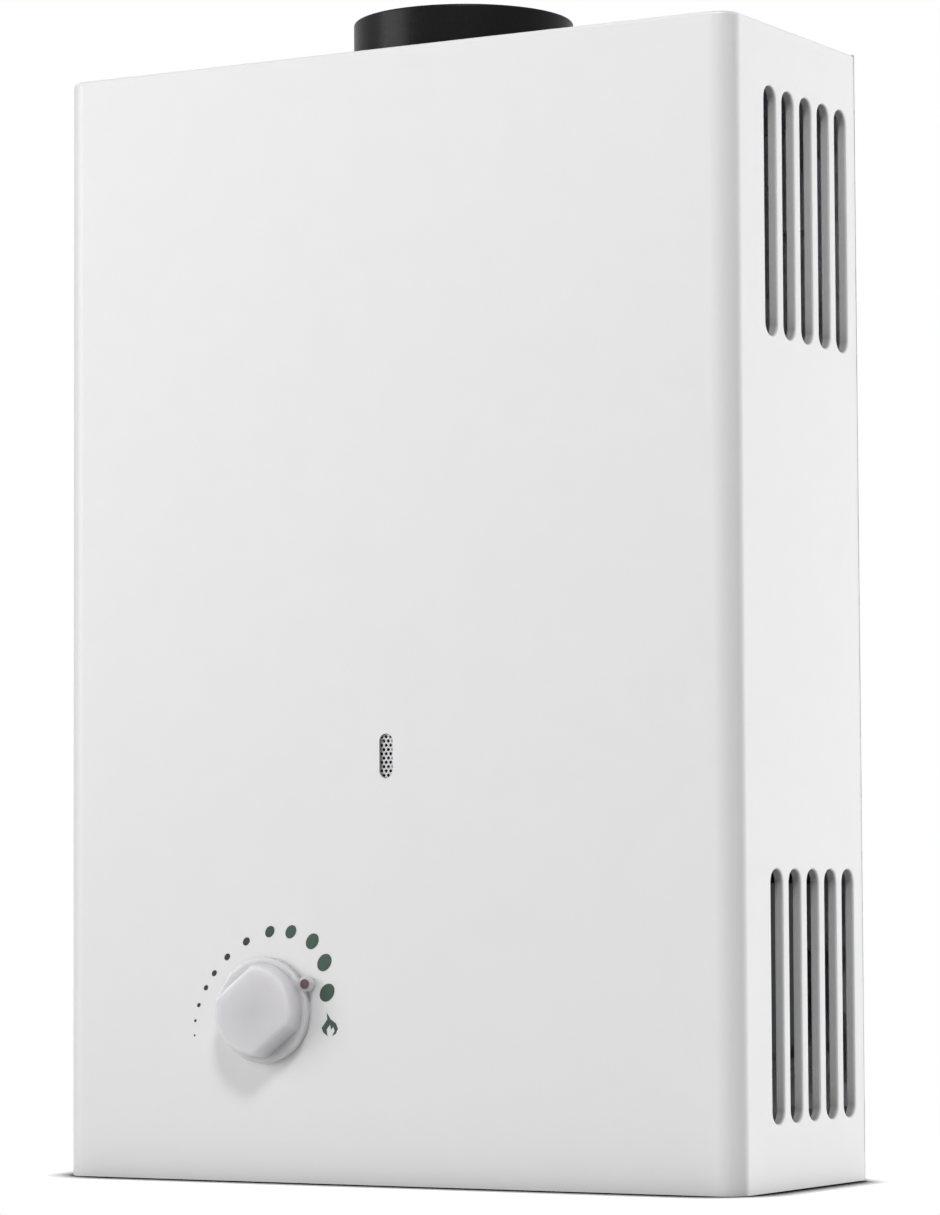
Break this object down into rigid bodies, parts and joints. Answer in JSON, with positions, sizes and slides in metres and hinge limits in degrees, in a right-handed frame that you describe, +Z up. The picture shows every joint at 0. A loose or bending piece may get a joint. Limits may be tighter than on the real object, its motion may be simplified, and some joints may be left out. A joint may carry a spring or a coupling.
{
  "type": "tankless gas water heater",
  "caption": "Wall-hung instantaneous gas water heater: slim white sheet casing, black flue collar, vented sides, a flame window and a temperature knob with a printed dial.",
  "frame": {"origin": "on the wall plane, below the middle of the casing, at the height of its bottom edge", "axes": "+X to the right seen from the front, +Y back into the wall, +Z up"},
  "size_m": [0.3, 0.1214, 0.4593],
  "materials": {
    "white_enamel": "satin powder coat",
    "zinc_sheet": "galvanised sheet",
    "screw_zinc": "zinc plated",
    "black_enamel": "gloss black enamel",
    "hood_sheet": "aluminised sheet",
    "hood_screw_zinc": "zinc plated",
    "chamber_copper": "copper, lightly tinned",
    "bracket_zinc": "galvanised",
    "fin_copper": "copper",
    "tube_copper": "copper",
    "coil_copper": "copper",
    "hot_copper": "copper",
    "union_brass": "turned brass",
    "blade_steel": "stainless",
    "frame_steel": "stainless",
    "manifold_cast": "die cast",
    "strap_steel": "galvanised",
    "jet_brass": "turned brass",
    "gasket_fibre": "pressed fibre",
    "gas_cast": "die cast",
    "valve_bracket_zinc": "galvanised",
    "bonnet_brass": "turned brass",
    "spindle_steel": "turned steel",
    "plug_brass": "turned brass",
    "cap_brass": "turned brass",
    "disc_rubber": "nitrile rubber",
    "gas_spring_steel": "spring wire",
    "rod_steel": "ground steel",
    "plate_plastic": "moulded",
    "diaphragm_rubber": "rubber sheet",
    "water_cover_brass": "forged brass",
    "water_body_brass": "forged brass",
    "valve_screw_zinc": "zinc plated",
    "drain_plastic": "moulded",
    "filter_plastic": "moulded",
    "switch_plastic": "moulded",
    "lever_steel": "spring steel",
    "solenoid_steel": "plated",
    "plunger_steel": "turned",
    "solenoid_spring_steel": "spring wire",
    "gas_stub_brass": "turned brass",
    "cold_stub_brass": "turned brass",
    "hot_stub_brass": "turned brass",
    "connection_zinc": "galvanised",
    "battery_case_plastic": "moulded",
    "battery_door_plastic": "moulded",
    "pin_steel": "steel wire",
    "cell_jacket": "printed jacket",
    "contact_nickel": "nickel plated",
    "igniter_plastic": "moulded",
    "electrode_ceramic": "glazed ceramic",
    "sensor_ceramic": "glazed ceramic",
    "ignition_silicone": "silicone",
    "control_silicone": "silicone",
    "thermostat_metal": "plated",
    "guard_steel": "perforated",
    "knob_plastic": "satin pale grey plastic",
    "pointer_paint": "painted inlay",
    "dial_ink": "printed ink"
  },
  "bodies": {
    "heater": {"front_cover": "white_enamel", "back_plate": "zinc_sheet", "cover_screws": "screw_zinc", "flue_collar": "black_enamel", "draft_hood": "hood_sheet", "hood_screws": "hood_screw_zinc", "combustion_chamber": "chamber_copper", "chamber_brackets": "bracket_zinc", "exchanger_fins": "fin_copper", "exchanger_tubes": "tube_copper", "coil_pipe": "coil_copper", "hot_pipe": "hot_copper", "pipe_union": "union_brass", "burner_blades": "blade_steel", "burner_frame": "frame_steel", "burner_manifold": "manifold_cast", "manifold_brackets": "strap_steel", "gas_jets": "jet_brass", "manifold_gasket": "gasket_fibre", "gas_valve_body": "gas_cast", "valve_bracket": "valve_bracket_zinc", "valve_bonnet": "bonnet_brass", "valve_end_cap": "cap_brass", "gas_valve_spring": "gas_spring_steel", "diaphragm": "diaphragm_rubber", "water_valve_cover": "water_cover_brass", "water_valve_body": "water_body_brass", "valve_screws": "valve_screw_zinc", "inlet_filter": "filter_plastic", "microswitch": "switch_plastic", "solenoid_can": "solenoid_steel", "solenoid_spring": "solenoid_spring_steel", "gas_inlet": "gas_stub_brass", "cold_inlet": "cold_stub_brass", "hot_outlet": "hot_stub_brass", "connection_bracket": "connection_zinc", "battery_case": "battery_case_plastic", "door_pin": "pin_steel", "battery_cells": "cell_jacket", "battery_contacts": "contact_nickel", "igniter_box": "igniter_plastic", "ignition_electrode": "electrode_ceramic", "flame_sensor": "sensor_ceramic", "ignition_lead": "ignition_silicone", "control_leads": "control_silicone", "overheat_thermostat": "thermostat_metal", "sight_guard": "guard_steel", "dial_marks": "dial_ink"},
    "knob": {"gas_knob": "knob_plastic", "knob_pointer": "pointer_paint", "gas_spindle": "spindle_steel", "regulating_plug": "plug_brass"},
    "water_link": {"push_rod": "rod_steel", "gas_valve_disc": "disc_rubber", "diaphragm_plate": "plate_plastic"},
    "lever": {"switch_lever": "lever_steel"},
    "plunger": {"solenoid_plunger": "plunger_steel"},
    "door": {"battery_door": "battery_door_plastic"},
    "drain": {"drain_plug": "drain_plastic"}
  },
  "joints": [
    {"name": "knob_turn", "type": "hinge", "parent": "heater", "child": "knob", "pos_m": [-0.0545, -0.11, 0.0665], "axis": [0, -1, 0], "range_deg": [-36, 166]},
    {"name": "water_link_slide", "type": "slide", "parent": "heater", "child": "water_link", "axis": [-1, 0, 0], "range_m": [0, 0.0035], "stiffness_N_per_m": 600, "springref_m": -0.008, "deforming": ["gas_valve_spring"]},
    {"name": "switch_lever_turn", "type": "hinge", "parent": "heater", "child": "lever", "pos_m": [-0.0172, -0.052, 0.085], "axis": [0, 1, 0], "range_deg": [0, 15]},
    {"name": "plunger_slide", "type": "slide", "parent": "heater", "child": "plunger", "axis": [0, 1, 0], "range_m": [0, 0.003], "stiffness_N_per_m": 400, "springref_m": -0.004, "deforming": ["solenoid_spring"]},
    {"name": "battery_door_turn", "type": "hinge", "parent": "heater", "child": "door", "pos_m": [0.1398, -0.059, 0.0462], "axis": [0, -1, 0], "range_deg": [0, 92]},
    {"name": "drain_plug_turn", "type": "hinge", "parent": "heater", "child": "drain", "pos_m": [0.01, -0.052, 0.028], "axis": [0, 0, -1], "range_deg": [0, 360]}
  ],
  "couplings": [
    {"joint": "switch_lever_turn", "follows": "water_link_slide", "rad_per_m": 71.43}
  ]
}
